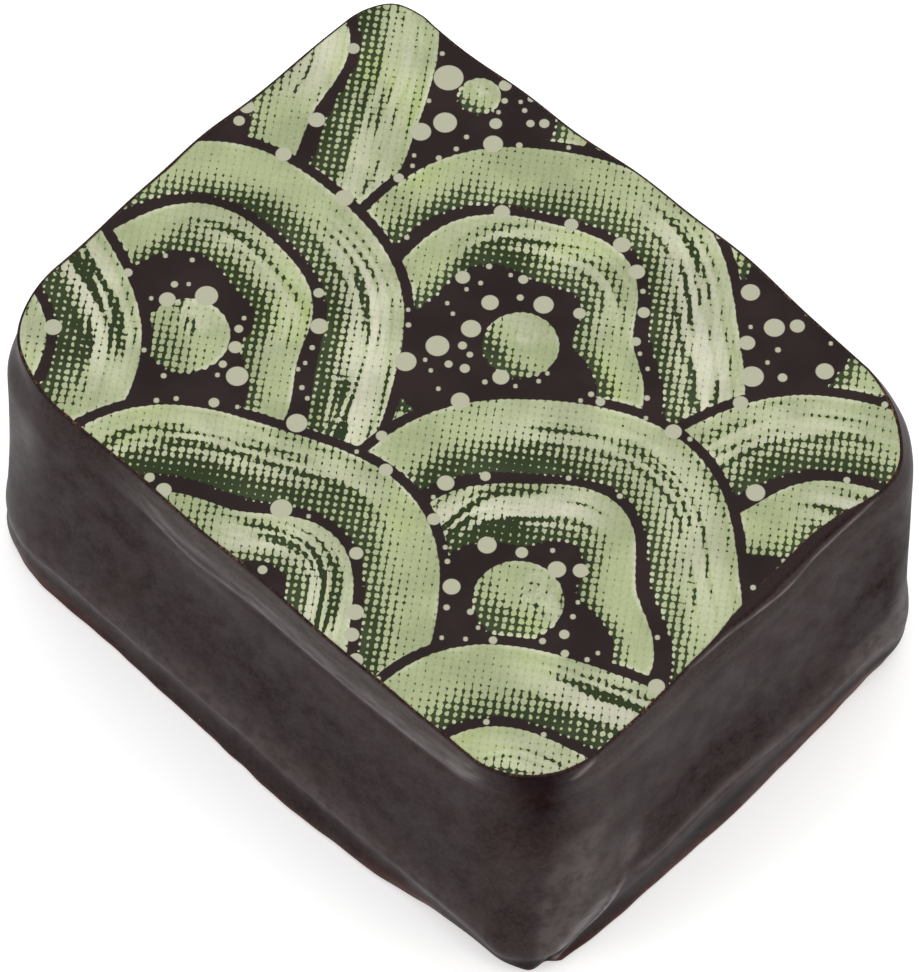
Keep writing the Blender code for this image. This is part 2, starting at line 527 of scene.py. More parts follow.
    def thin_spots(self) -> tuple[Patch, ...]:
        """Where the coat is thin enough to show red-brown, low in the groove and at the foot."""
        return (
            Patch(0.30, 0.24, 0.5, 0.45, 0.70),
            Patch(1.38, 0.09, 0.7, 0.45, 0.60),
            Patch(1.15, 0.12, 0.4, 0.25, 0.35),
            Patch(2.40, 0.08, 0.3, 0.30, 0.60),
            Patch(3.44, 0.22, 0.55, 0.52, 0.92),
            Patch(2.95, 0.35, 0.3, 0.40, 0.35),
            Patch(1.97, 0.16, 13.8, 0.9, 0.06),
        )

    def outline(self, radii: Sequence[float]) -> tuple[Array, Array, Array]:
        """A rounded rectangle: four arcs of unlike radius, joined by straight sides.

        Args:
            radii: radius at the left, near, right and far corner.

        Returns:
            The points, their outward normals and their station numbers.
        """
        half = np.array([self.length, self.width]) / 2
        corners = np.array([(-1, -1), (1, -1), (1, 1), (-1, 1)])
        points, normals, stations = [], [], []
        for k in range(4):
            quarter = np.linspace(0, np.pi / 2, self.corner_steps + 1)
            turn = np.pi * (1 + k / 2) + quarter
            normal = np.stack([np.cos(turn), np.sin(turn)], axis=-1)
            arc = corners[k] * (half - radii[k]) + normal * radii[k]
            after = (k + 1) % 4
            end = corners[after] * (half - radii[after]) + normal[-1] * radii[after]
            steps = self.short_steps if k % 2 else self.long_steps
            along = np.linspace(0, 1, steps + 1)[1:-1]
            reach = self.corner_reach
            points += [arc, arc[-1] + (end - arc[-1]) * along[:, None]]
            normals += [normal, np.repeat(normal[-1:], len(along), axis=0)]
            stations += [
                2 * k + np.linspace(-reach, reach, self.corner_steps + 1),
                2 * k + reach + 2 * (1 - reach) * along,
            ]
        numbers = np.concatenate(stations) % len(Station)
        return np.vstack(points), np.vstack(normals), numbers

    def rows(self) -> tuple[Array, Array, Array]:
        """A smooth curve through the levels, with the given rows between each two.

        Returns:
            The flares, the heights, and each row's place among the levels.
        """
        levels = self.profile()
        values = np.array([(level.flare, level.height) for level in levels])
        last = len(levels) - 1
        where = np.concatenate(
            [i + np.arange(levels[i].rows) / levels[i].rows for i in range(last)]
            + [[float(last)]]
        )
        i = np.minimum(where.astype(int), last - 1)
        f = (where - i)[:, None]
        before, start = values[np.maximum(i - 1, 0)], values[i]
        end, beyond = values[i + 1], values[np.minimum(i + 2, last)]
        curve = 0.5 * (
            2 * start
            + (end - before) * f
            + (2 * before - 5 * start + 4 * end - beyond) * f**2
            + (3 * start - before - 3 * end + beyond) * f**3
        )
        return curve[:, 0], np.clip(curve[:, 1], 0, self.height), where

    def unevenness(self, rim: Array, height: Union[Array, float]) -> Array:
        """The ripples' pushes, each strongest at its own height.

        Args:
            rim: the face's outline, which measures the way round.
            height: heights of the surface's points, or one height for all.

        Returns:
            The push, in millimetres.
        """
        steps = np.linalg.norm(np.roll(rim, -1, axis=0) - rim, axis=1)
        turn = (np.cumsum(steps) - steps) / steps.sum()
        return sum(r.along(turn) * bell(height, r.height, r.band) for r in self.ripples())

    def surface(self) -> tuple[Array, Array, Array, Array]:
        """The coat as a grid: outline points pushed out along their normals, row by row.

        The push is the profile's flare, plus each dent's bell in station times its bell in
        height, plus the runs, ripples and creases. The plan is a mix of the face's and the
        foot's outlines by height, and the lowest rows sink by the near corner.

        Returns:
            The points (rows, places, 3), the stations, the rows' places among the levels, and
            the rows' heights before the sinking.
        """
        face, normals, stations = self.outline(self.face_radii)
        foot, _, _ = self.outline(self.foot_radii)
        flares, heights, where = self.rows()
        push = np.repeat(flares[:, None], len(stations), axis=1)
        height = np.repeat(heights[:, None], len(stations), axis=1)

        fade = 1 - np.clip((height - self.height + self.dent_fade) / self.dent_fade, 0, 1) ** 2
        for dent in self.dents():
            round_it = bell_round(stations, dent.station, dent.spread)
            push = push + dent.push * round_it * bell(height, dent.height, dent.band) * fade
        push = push + self.edge_run().along(stations)
        push = push + self.foot_run().along(stations) * bell(height, self.foot_height, self.foot_band)
        push = push + self.unevenness(face, height)
        for crease in self.creases():
            push = push + crease.push * crease.share_at(stations, height)

        share = (height / self.height)[..., None]
        plan = face * share + foot * (1 - share) + normals * push[..., None]
        sink = self.sink_share * bell_round(stations, self.sink_station, self.sink_spread, 4)
        height = height * (1 - sink * np.sqrt(np.clip(1 - height / self.sink_band, 0, 1)))
        return np.concatenate([plan, height[..., None]], axis=-1), stations, where, heights


def centring(points: Array, box: tuple) -> Array:
    """The shift in plan that centres points on the solid's box.

    Args:
        points: positions in millimetres, with the axes last.
        box: the solid's lowest and highest corner, in metres.

    Returns:
        The shift along X and Y, in millimetres.
    """
    flat = points.reshape(-1, 3)
    middle = (flat.min(axis=0) + flat.max(axis=0)) / 2
    wanted = (np.array(box[0]) + np.array(box[1])) / 2 / MM
    return (wanted - middle)[:2]


def new_object(
    name: str, points: Array, faces: list, marks: Optional[dict[Enum, Array]] = None
) -> bpy.types.Object:
    """Makes a smooth-shaded mesh object at the origin and links it to the scene.

    Args:
        name: the piece's name.
        points: vertex positions in millimetres.
        faces: vertex numbers of each face.
        marks: values for each vertex, by mark.

    Returns:
        The object.
    """
    mesh = bpy.data.meshes.new(name)
    mesh.from_pydata((points * MM).tolist(), [], faces)
    for mark, values in (marks or {}).items():
        attribute = mesh.attributes.new(mark.value, "FLOAT", "POINT")
        attribute.data.foreach_set("value", np.asarray(values, np.float32).ravel())
    mesh.shade_smooth()
    mesh.validate()
    piece = bpy.data.objects.new(name, mesh)
    bpy.context.scene.collection.objects.link(piece)
    return piece


def joined_rows(index: Array, closed: bool) -> list:
    """Four-sided faces between neighbouring rows of a grid of vertex numbers.

    Args:
        index: vertex numbers, one row for each line of the grid, running down and round.
        closed: whether each row's end joins its start.

    Returns:
        The faces, turned outwards where rows go down and places go anticlockwise.
    """
    beside = np.roll(index, -1, axis=1)
    quads = np.stack([index[:-1], index[1:], beside[1:], beside[:-1]], axis=-1)
    if not closed:
        quads = quads[:, :-1]
    return quads.reshape(-1, 4).tolist()


class Sheet:
    """A node tree that is filled in from left to right."""

    def __init__(self, tree: Tree) -> None:
        """Starts on an empty or new tree."""
        self.tree = tree

    def feed(self, socket: Socket, value: Feed) -> None:
        """Links a socket into another, or sets its value.

        Args:
            socket: the input to fill.
            value: another node's output, a number, or a colour or vector.
        """
        if isinstance(value, bpy.types.NodeSocket):
            self.tree.links.new(value, socket)
        elif hasattr(socket.default_value, "__len__") and not isinstance(value, (int, float)):
            wanted = len(socket.default_value)
            socket.default_value = (tuple(value) + (1.0,) * wanted)[:wanted]
        else:
            socket.default_value = value

    def give(self, node: Node, **inputs: Feed) -> None:
        """Feeds a node's inputs by name, with _ for a space."""
        for key, value in inputs.items():
            self.feed(node.inputs[key.replace("_", " ")], value)

    def add(self, kind: str, settings: Optional[dict] = None, **inputs: Feed) -> Node:
        """Adds one node.

        Args:
            kind: the node's Blender type name.
            settings: its own properties.
            inputs: values or sockets, by input name with _ for a space.

        Returns:
            The node.
        """
        node = self.tree.nodes.new(kind)
        for key, value in (settings or {}).items():
            setattr(node, key, value)
        self.give(node, **inputs)
        return node

    def group(self, tree: Tree, **inputs: Feed) -> bpy.types.bpy_prop_collection:
        """Places a node group and returns its outputs."""
        return self.add("ShaderNodeGroup", {"node_tree": tree}, **inputs).outputs

    def math(
        self, operation: str, a: Feed, b: Feed = 0.0, c: Feed = 0.0, clamp: bool = False
    ) -> Socket:
        """One step of arithmetic on numbers.

        Args:
            operation: the step's Blender name.
            a: the first number.
            b: the second number.
            c: the third number.
            clamp: whether the result is kept between 0 and 1.

        Returns:
            The result.
        """
        node = self.add("ShaderNodeMath", {"operation": operation, "use_clamp": clamp})
        for socket, value in zip(node.inputs, (a, b, c)):
            self.feed(socket, value)
        return node.outputs[0]

    def times(self, a: Feed, b: Feed) -> Socket:
        """The product of two numbers."""
        return self.math("MULTIPLY", a, b)

    def summed(self, start: Feed, *terms: tuple[Feed, Feed]) -> Socket:
        """A start plus each term's value times its weight.

        Args:
            start: the number to start from.
            terms: pairs of a value and its weight.

        Returns:
            The sum.
        """
        for value, weight in terms:
            start = self.math("MULTIPLY_ADD", value, weight, start)
        return start

    def blend(self, share: Feed, a: Feed, b: Feed, mode: str = "MIX") -> Socket:
        """Mixes two colours.

        Args:
            share: 0 for a alone, 1 for b alone.
            a: the colour below.
            b: the colour over it.
            mode: how b is laid over a, by its Blender name.

        Returns:
            The mixed colour.
        """
        node = self.add("ShaderNodeMix", {"data_type": "RGBA", "blend_type": mode})
        for index, value in ((0, share), (6, a), (7, b)):
            self.feed(node.inputs[index], value)
        return node.outputs[2]

    def layered(self, colour: Feed, *layers: tuple[Feed, Feed]) -> Socket:
        """A colour with others laid over it in turn.

        Args:
            colour: the lowest colour.
            layers: pairs of a share from 0 to 1 and the colour that it lays over the rest.

        Returns:
            The colour on top.
        """
        for share, over in layers:
            colour = self.blend(share, colour, over)
        return colour

    def ramp(
        self, value: Feed, low: float, high: float, start: float = 0.0, end: float = 1.0
    ) -> Socket:
        """Carries a number from one range to another by a smooth step, flat beyond both ends.

        Args:
            value: the number.
            low: where the step begins.
            high: where it ends.
            start: the result at low.
            end: the result at high.

        Returns:
            The number carried over.
        """
        node = self.add(
            "ShaderNodeMapRange",
            {"interpolation_type": "SMOOTHSTEP"},
            Value=value, From_Min=low, From_Max=high, To_Min=start, To_Max=end,
        )
        return node.outputs[0]

    def mark(self, mark: Enum) -> Socket:
        """Reads a value that the mesh carries."""
        return self.add("ShaderNodeAttribute", {"attribute_name": mark.value}).outputs["Fac"]

    def millimetres(self) -> Socket:
        """Object coordinates, in millimetres."""
        place = self.add("ShaderNodeTexCoord").outputs["Object"]
        return self.stretched(place, (1 / MM,) * 3)

    def stretched(self, place: Feed, factors: tuple[float, float, float]) -> Socket:
        """Coordinates multiplied axis by axis.

        Args:
            place: the coordinates.
            factors: below 1 draws a pattern out along that axis, above 1 squeezes it.

        Returns:
            The new coordinates.
        """
        node = self.add("ShaderNodeVectorMath", {"operation": "MULTIPLY"}, Vector=place)
        node.inputs[1].default_value = factors
        return node.outputs[0]

    def noise(
        self, place: Feed, size: Feed, detail: float = 3.0, rough: float = 0.5, bend: float = 0.0
    ) -> Socket:
        """Smooth noise, about 0.5 on average.

        Args:
            place: coordinates in millimetres.
            size: the noise's size in millimetres.
            detail: how many finer layers are added.
            rough: how strong the finer layers are.
            bend: how far the noise is warped.

        Returns:
            The noise at each place.
        """
        scale = 1 / size if isinstance(size, float) else self.math("DIVIDE", 1.0, size)
        node = self.add(
            "ShaderNodeTexNoise", None,
            Vector=place, Scale=scale, Detail=detail, Roughness=rough, Distortion=bend,
        )
        return node.outputs["Fac"]

    def bumped(self, height: Feed, strength: float) -> Socket:
        """A normal bent by a height in millimetres."""
        node = self.add("ShaderNodeBump", None, Height=height, Distance=MM, Strength=strength)
        return node.outputs["Normal"]


def new_group(
    name: str, inputs: dict[str, float], outputs: Sequence[str]
) -> tuple[Sheet, bpy.types.bpy_prop_collection, Node]:
    """Starts a shader node group of numbers, with the vector Place as its first input.

    Args:
        name: the group's name.
        inputs: default numbers, by input name.
        outputs: output names.

    Returns:
        The sheet to fill in, what the group is given, and its output node.
    """
    tree = bpy.data.node_groups.new(name, "ShaderNodeTree")
    tree.interface.new_socket("Place", in_out="INPUT", socket_type="NodeSocketVector")
    for label, value in inputs.items():
        socket = tree.interface.new_socket(label, in_out="INPUT", socket_type="NodeSocketFloat")
        socket.default_value = value
    for label in outputs:
        tree.interface.new_socket(label, in_out="OUTPUT", socket_type="NodeSocketFloat")
    sheet = Sheet(tree)
    return sheet, sheet.add("NodeGroupInput").outputs, sheet.add("NodeGroupOutput")


def mottling_group() -> Tree:
    """Slow clouds and fine grain of a set, greasy surface.

    Returns:
        A group with the inputs Place, Cloud Size and Grain Size, which puts out Cloud and
        Grain from 0 to 1, and Height.
    """
    sheet, given, put = new_group(
        "cocoa mottling", {"Cloud Size": 3.0, "Grain Size": 0.25}, ("Cloud", "Grain", "Height")
    )
    cloud = sheet.noise(given["Place"], given["Cloud Size"], 3.0, 0.50, 0.1)
    grain = sheet.noise(given["Place"], given["Grain Size"], 5.0, 0.65)
    sheet.give(
        put,
        Cloud=sheet.ramp(cloud, 0.25, 0.75),
        Grain=sheet.ramp(grain, 0.28, 0.72),
        Height=sheet.summed(grain, (cloud, 2.0)),
    )
    return sheet.tree


def fleck_group() -> Tree:
    """Tiny scattered flecks: cells whose middle is near enough and whose draw is low enough.

    Returns:
        A group with the inputs Place, Spacing, Radius and Share, which puts out Mask.
    """
    sheet, given, put = new_group(
        "scattered flecks", {"Spacing": 0.8, "Radius": 0.05, "Share": 0.3}, ("Mask",)
    )
    scale = sheet.math("DIVIDE", 1.0, given["Spacing"])
    cells = sheet.add("ShaderNodeTexVoronoi", None, Vector=given["Place"], Scale=scale).outputs
    far = sheet.times(cells["Distance"], given["Spacing"])
    draw = sheet.add("ShaderNodeSeparateColor", None, Color=cells["Color"]).outputs
    chosen = sheet.math("LESS_THAN", draw["Red"], given["Share"])
    reach = sheet.times(given["Radius"], sheet.math("ADD", draw["Green"], 0.4))
    near = sheet.math("SUBTRACT", 1.0, sheet.math("DIVIDE", far, reach), clamp=True)
    sheet.give(put, Mask=sheet.times(chosen, sheet.ramp(near, 0.0, 0.5)))
    return sheet.tree


def halftone_group() -> Tree:
    """A printer's dot screen, turned from the face's long side.

    In each cell u and v run from -1/2 to 1/2, and the hill is
    1 - sqrt(1.3 u^2 + 0.8 v^2) / 0.7246. Ink lies where the hill is higher than 1 - tone:
    round dots at a low tone, which join along v first and leave dashes, then pinholes.

    Returns:
        A group with the inputs Place, Pitch, Tone and Softness, which puts out Hill and Mask.
    """
    sheet, given, put = new_group(
        "halftone screen", {"Pitch": 0.28, "Tone": 0.5, "Softness": 0.12}, ("Hill", "Mask")
    )
    turn = (0.0, 0.0, -np.radians(SCREEN_ANGLE))
    turned = sheet.add("ShaderNodeMapping", None, Vector=given["Place"], Rotation=turn)
    axes = sheet.add("ShaderNodeSeparateXYZ", None, Vector=turned.outputs["Vector"]).outputs
    squares = []
    for axis, squeeze in zip("XY", DOT_SQUEEZE):
        cells = sheet.math("DIVIDE", axes[axis], given["Pitch"])
        across = sheet.math("WRAP", cells, 0.5, -0.5)
        squares.append(sheet.times(sheet.times(across, across), squeeze))
    away = sheet.math("SQRT", sheet.math("ADD", *squares))
    hill = sheet.summed(1.0, (away, -1 / DOT_REACH))
    over = sheet.math("SUBTRACT", sheet.math("ADD", hill, given["Tone"]), 1.0)
    share = sheet.math("DIVIDE", over, given["Softness"])
    sheet.give(put, Hill=hill, Mask=sheet.math("ADD", share, 0.5, clamp=True))
    return sheet.tree


@dataclass
class Effects:
    """The node groups that the materials share."""

    mottling: Tree = field(default_factory=mottling_group)
    flecks: Tree = field(default_factory=fleck_group)
    halftone: Tree = field(default_factory=halftone_group)


def new_material(name: str) -> tuple[bpy.types.Material, Sheet, Node]:
    """Starts a material that is made of nodes.

    Args:
        name: the material's name.

    Returns:
        The material, its sheet and its Principled BSDF.
    """
    material = bpy.data.materials.new(name)
    material.use_nodes = True
    return material, Sheet(material.node_tree), material.node_tree.nodes["Principled BSDF"]


@dataclass(frozen=True)
class ChocolateFinish:
    """Set dark chocolate: satin, faintly clouded, redder where it is thin, with painted highlights
    and painted shade in patches, a painted highlight on its crease crests, and painted shade in its
    groove and at its near corner.
    """

    dark: Colour = (0.0115, 0.0051, 0.0051)
    light: Colour = (0.0310, 0.0165, 0.0160)
    bloom: Colour = (0.0500, 0.0370, 0.0365)
    thin: Colour = (0.0950, 0.0290, 0.0180)
    # painted highlight laid along the crease crests
    crest: Colour = (0.2000, 0.1750, 0.1750)
    # painted shade in the groove, tinted blue-grey as a painted reflection
    groove: Colour = (0.0170, 0.0125, 0.0150)
    # painted shade at the near corner
    painted_corner_shade: Colour = (0.0100, 0.0050, 0.0063)
    rim: Colour = (0.0400, 0.0160, 0.0110)
    gilt: Colour = (0.1500, 0.0850, 0.0420)
    fleck: Colour = (0.1600, 0.1300, 0.1200)
    sheen: Colour = (1.0, 0.94, 0.92)
    roughness: float = 0.42
    specular: float = 0.023
    shoulder_gloss: float = 0.30
    # the deepest painted shade that the patches may give
    painted_shade_limit: float = -0.7

    def material(self, effects: Effects) -> bpy.types.Material:
        """Builds the coat's material.

        Args:
            effects: the shared node groups.

        Returns:
            The material, which reads the coat's marks and Object coordinates.
        """
        material, sheet, shader = new_material("dark chocolate")
        place = sheet.millimetres()
        turned = sheet.add(
            "ShaderNodeVectorRotate", {"rotation_type": "EULER_XYZ", "invert": True},
            Vector=place, Rotation=(RUN_TILT, 0.0, RUN_TURN),
        )
        tall = sheet.stretched(turned.outputs["Vector"], (1.0, 1.0, 0.50))
        coarse = sheet.group(effects.mottling, Place=tall, Cloud_Size=2.4, Grain_Size=0.50)
        fine = sheet.group(effects.mottling, Place=tall, Cloud_Size=0.9, Grain_Size=0.18)
        flecks = sheet.group(effects.flecks, Place=place, Spacing=0.8, Radius=0.050, Share=0.30)
        pits = sheet.group(effects.flecks, Place=place, Spacing=1.5, Radius=0.12, Share=0.30)

        # The cloud mark holds painted highlights above 0 and painted shade below 0; blotch breaks up
        # the painted highlights, and both also shift the gloss.
        cloud = sheet.mark(Mark.PAINTED_HIGHLIGHT_AND_SHADE)
        blotch = sheet.ramp(sheet.noise(tall, 0.60, 4.0, 0.6), 0.34, 0.66, 0.40, 1.50)
        painted_highlight = sheet.times(sheet.math("MAXIMUM", cloud, 0.0), blotch)
        painted_shade = sheet.math("MAXIMUM", sheet.math("MINIMUM", cloud, 0.0), self.painted_shade_limit)
        share = sheet.summed(
            0.0, (coarse["Cloud"], 0.36), (fine["Cloud"], 0.18), (coarse["Grain"], 0.24),
            (painted_highlight, 0.55), (painted_shade, 0.55),
        )
        drawn = sheet.stretched(place, (0.35, 0.35, 2.4))
        fibres = sheet.ramp(sheet.noise(drawn, 0.38, 3.0, 0.6), 0.38, 0.64, 0.50, 1.10)
        # painted highlight along the crease crests, broken into fibres
        crest = sheet.times(sheet.mark(Mark.CREST_HIGHLIGHT), fibres)
        corner = sheet.mark(Mark.NEAR_CORNER)
        worn_foot = sheet.ramp(coarse["Grain"], 0.1, 0.9, 0.50, 1.0)
        worn_wall = sheet.ramp(coarse["Grain"], 0.0, 0.8, 0.50, 1.0)
        foot = sheet.times(sheet.mark(Mark.FOOT), worn_foot)
        thin = sheet.times(sheet.mark(Mark.THIN), worn_wall)
        speckle = sheet.ramp(sheet.noise(place, 0.16, 2.0, 0.7), 0.46, 0.62)
        broken = sheet.ramp(sheet.noise(place, 1.7, 2.0), 0.47, 0.62, 0.10, 1.0)
        rim = sheet.times(sheet.mark(Mark.RIM), sheet.summed(0.3, (speckle, 0.6)))
        # Painted light among these layers: the share's cloud-mark part, the crest highlight, the
        # groove shade and the near corner's shade; the rest is the coat's own colour.
        colour = sheet.layered(
            self.dark,
            (share, self.light),
            (sheet.times(sheet.ramp(fine["Grain"], 0.05, 0.95), 0.38), self.bloom),
            (sheet.times(flecks["Mask"], 0.45), self.fleck),
            (sheet.times(crest, 0.60), self.crest),
            (sheet.times(sheet.mark(Mark.GROOVE_SHADE), 0.75), self.groove),
            (sheet.times(corner, 0.80), self.painted_corner_shade),
            (sheet.math("MAXIMUM", foot, thin), self.thin),
            (sheet.times(rim, broken), sheet.blend(speckle, self.rim, self.gilt)),
        )

        rough = sheet.summed(
            self.roughness - 0.05, (coarse["Cloud"], 0.10), (fine["Grain"], 0.06), (corner, -0.10)
        )
        shoulder = sheet.times(sheet.mark(Mark.SHOULDER), sheet.ramp(fibres, 0.2, 1.2, 0.75, 1.2))
        gloss = sheet.summed(
            self.specular, (fine["Cloud"], 0.02), (painted_highlight, 0.11), (painted_shade, 0.036), (crest, 0.16),
            (shoulder, self.shoulder_gloss), (corner, -0.034),
        )
        relief = sheet.summed(0.0, (fine["Height"], 0.010), (pits["Mask"], -0.02))
        sheet.give(
            shader, Base_Color=colour, Roughness=rough, Specular_Tint=self.sheen,
            Specular_IOR_Level=sheet.math("MAXIMUM", gloss, 0.0), Normal=sheet.bumped(relief, 0.6),
        )
        return material


@dataclass(frozen=True)
class PrintFinish:
    """Coloured cocoa butter printed on chocolate through a dot screen."""

    green: Colour = (0.382, 0.429, 0.238)
    cream: Colour = (0.600, 0.600, 0.460)
    spot: Colour = (0.445, 0.440, 0.325)
    deep: Colour = (0.024, 0.037, 0.011)
    moss: Colour = (0.045, 0.062, 0.026)
    lime: Colour = (0.390, 0.470, 0.170)
    ground_dark: Colour = (0.0150, 0.0085, 0.0080)
    ground_light: Colour = (0.0260, 0.0160, 0.0150)
    rim: Colour = (0.0220, 0.0100, 0.0080)
    rust: Colour = (0.1700, 0.0850, 0.0320)
    bare: Colour = (0.0210, 0.0095, 0.0095)
    smear: float = 0.10
    pitch: float = 0.3226
    roughness: float = 0.55
    specular: float = 0.10

    def material(self, effects: Effects) -> bpy.types.Material:
        """Builds the printed face's material.

        Args:
            effects: the shared node groups.

        Returns:
            The material, which reads the print's marks and Object coordinates.
        """
        material, sheet, shader = new_material("printed cocoa butter")
        place = sheet.millimetres()
        mottling = sheet.group(effects.mottling, Place=place, Cloud_Size=2.6, Grain_Size=0.13)
        cloud, grain = mottling["Cloud"], mottling["Grain"]
        smear = sheet.add("ShaderNodeTexNoise", None, Vector=place, Scale=1 / 0.42, Detail=2.0)
        shove = sheet.add("ShaderNodeVectorMath", {"operation": "MULTIPLY_ADD"})
        for socket, value in zip(shove.inputs, (smear.outputs["Color"], (self.smear,) * 3, place)):
            sheet.feed(socket, value)
        jitter = sheet.math("SUBTRACT", sheet.noise(place, 0.20, 2.0, 0.6), 0.5)
        tone = sheet.summed(sheet.mark(Ink.TONE), (jitter, 0.70))
        screen = sheet.group(
            effects.halftone, Place=shove.outputs[0], Pitch=self.pitch, Tone=tone, Softness=0.11
        )

        inside, shade, cream = (sheet.mark(ink) for ink in (Ink.LIT, Ink.SHADE, Ink.CREAM))
        beads = sheet.summed(-0.11, (screen["Hill"], 0.20))
        edge = sheet.summed(inside, (beads, sheet.summed(0.25, (shade, 0.75))))
        lit = sheet.ramp(edge, -0.018, 0.026)
        inked = sheet.times(screen["Mask"], lit)
        glow = sheet.times(shade, sheet.ramp(cloud, 0.2, 0.9))
        ground = sheet.layered(
            self.ground_dark,
            (cloud, self.ground_light),
            (
                sheet.times(lit, sheet.ramp(cream, 0.1, 0.8, 0.95, 0.25)),
                sheet.blend(glow, self.deep, self.moss),
            ),
        )

        lime = sheet.times(sheet.ramp(sheet.noise(place, 5.0, 1.0), 0.56, 0.72), 0.7)
        pale = sheet.times(sheet.ramp(inside, 0.02, 0.26, 1.0, 0.0), sheet.ramp(cloud, 0.2, 0.8))
        ink = sheet.layered(
            self.green, (lime, self.lime), (cream, self.cream), (sheet.times(pale, 0.6), self.cream)
        )
        worn = sheet.times(
            sheet.ramp(grain, 0.0, 1.0, 0.93, 1.05), sheet.ramp(cloud, 0.1, 0.9, 0.88, 1.08)
        )
        worn = sheet.times(worn, sheet.ramp(screen["Hill"], 0.0, 0.42, 0.84, 1.0))
        grey = sheet.add("ShaderNodeCombineXYZ", None, X=worn, Y=worn, Z=worn)
        ink = sheet.blend(1.0, ink, grey.outputs[0], "MULTIPLY")

        dots = sheet.ramp(sheet.mark(Ink.DOTS), -0.02, 0.03)
        border = sheet.mark(Ink.BORDER)
        ragged = sheet.summed(border, (sheet.noise(place, 0.30, 3.0, 0.7), 0.14))
        broken = sheet.ramp(sheet.noise(place, 1.9, 2.0), 0.46, 0.60, 0.12, 1.0)
        rim = sheet.times(sheet.ramp(ragged, 0.06, 0.11, 1.0, 0.0), broken)
        grit = sheet.ramp(sheet.noise(place, 0.14, 2.0, 0.7), 0.45, 0.60)
        printed = sheet.ramp(border, -0.05, 0.01)
        colour = sheet.layered(
            ground, (inked, ink), (dots, self.spot), (rim, sheet.blend(grit, self.rim, self.rust))
        )
        colour = sheet.blend(printed, sheet.blend(grain, self.bare, self.ground_light), colour)

        covered = sheet.times(sheet.math("MAXIMUM", inked, dots), printed)
        rough = sheet.summed(self.roughness - 0.06, (covered, 0.12), (cloud, 0.06))
        relief = sheet.summed(0.0, (covered, 0.012), (mottling["Height"], 0.004))
        sheet.give(
            shader, Base_Color=colour, Roughness=rough, Specular_IOR_Level=self.specular,
            Normal=sheet.bumped(relief, 0.5),
        )
        return material


@dataclass(frozen=True)
class Fan:
    """One wave crest of the print: rings of ink round a middle, each ring a crescent.

    Lengths are in millimetres, angles in degrees from +X.
    """

    middle: tuple[float, float]
    reach: float
    facing: float
    widths: tuple[float, ...]
    cream_ring: int
    seed: int
    gap: float = 0.42
    opening: float = 1.0
    outer_gap: float = 0.42
    thinning: float = 0.26
    wobble: float = 0.035

    def inside(self, x: Array, y: Array) -> tuple[Array, Array, Array]:
        """Depth inside the crest's outer edge, whose radius wobbles with the angle.

        Args:
            x: positions along the face.
            y: positions across it.

        Returns:
            The depth, the angle from the facing direction, and the distance from the middle.
        """
        across, up = x - self.middle[0], y - self.middle[1]
        away = np.hypot(across, up)
        turn = np.arctan2(up, across) - np.radians(self.facing)
        turn = (turn + np.pi) % FULL_TURN - np.pi
        wave = np.cos(3 * turn + self.seed) + 0.7 * np.cos(5 * turn + 2.3 * self.seed)
        return self.reach * (1 + self.wobble * wave) - away, turn, away

    def rings(self, depth: Array, turn: Array, away: Array) -> dict[Ink, Array]:
        """The crest's rings of ink.

        A ring lies between its outer edge and an inner edge that draws near it as the
        cosine of the angle falls, so the ring thins towards its ends. Its tone falls
        from the outer to the inner edge, with streaks of noise drawn out round the middle.

        Args:
            depth: depth inside the outer edge.
            turn: angle from the facing direction.
            away: distance from the middle.

        Returns:
            The lit distance, tone, cream and shade at each point.
        """
        lit = np.full(depth.shape, -9.0)
        tone, cream, shade = (np.zeros(depth.shape) for _ in range(3))
        start = np.full(depth.shape, self.outer_gap)
        drawn = np.stack([turn * np.maximum(away, 2.0) / 3.2, depth / 0.23], axis=-1)
        streak = layered_noise(drawn, 1.0, 2, self.seed + 31)
        cloud = layered_noise(np.stack([turn * away, depth], axis=-1), 3.6, 2, self.seed + 57)
        last = len(self.widths) - 1
        for k, width in enumerate(self.widths):
            lean = 0.50 * np.sin(2.1 * k + self.seed)
            thin = 1 - self.thinning * (1 - np.cos(turn - lean)) - 0.04 * np.cos(4 * turn + k)
            inner = start + width * np.clip(thin, 0.10, 1.2)
            t = np.clip((depth - start) / np.maximum(inner - start, 0.05), 0, 1)
            own = np.minimum(depth - start, inner - depth)
            if k == last:
                ahead = np.abs(turn) < 0.7
                room = (depth + away - start)[ahead].min(initial=width)
                inner = np.full(depth.shape, 2 * self.reach)
                t = np.clip(0.5 - 0.5 * away * np.cos(turn) / room, 0, 1)
                own = np.minimum(room - away, depth - start)
            fall = smooth_step(t, 0.32, 1.05)
            ring_tone = 0.91 - 0.62 * fall + 0.30 * cloud
            pale = 1.0 if k == self.cream_ring else 0.55
            band = bell(t, 0.42, 0.34) * smooth_step(np.cos(turn - 1.6 * lean), 0.35, 0.90)
            ring_cream = pale * band * smooth_step(streak, -0.42, 0.14)
            ring_tone = ring_tone + 0.12 * ring_cream
            ring_tone = ring_tone - 0.80 * band * smooth_step(-streak, 0.10, 0.36) * pale
            ring_shade = smooth_step(t + 0.45 * cloud, 0.42, 0.80)
            better = own > lit
            ring = (own, ring_tone, ring_cream, ring_shade)
            lit, tone, cream, shade = (
                np.where(better, new, old) for new, old in zip(ring, (lit, tone, cream, shade))
            )
            start = inner + self.gap * (1 + self.opening * (1 - np.cos(turn + lean)))
        return {Ink.LIT: lit, Ink.TONE: tone, Ink.CREAM: cream, Ink.SHADE: shade}


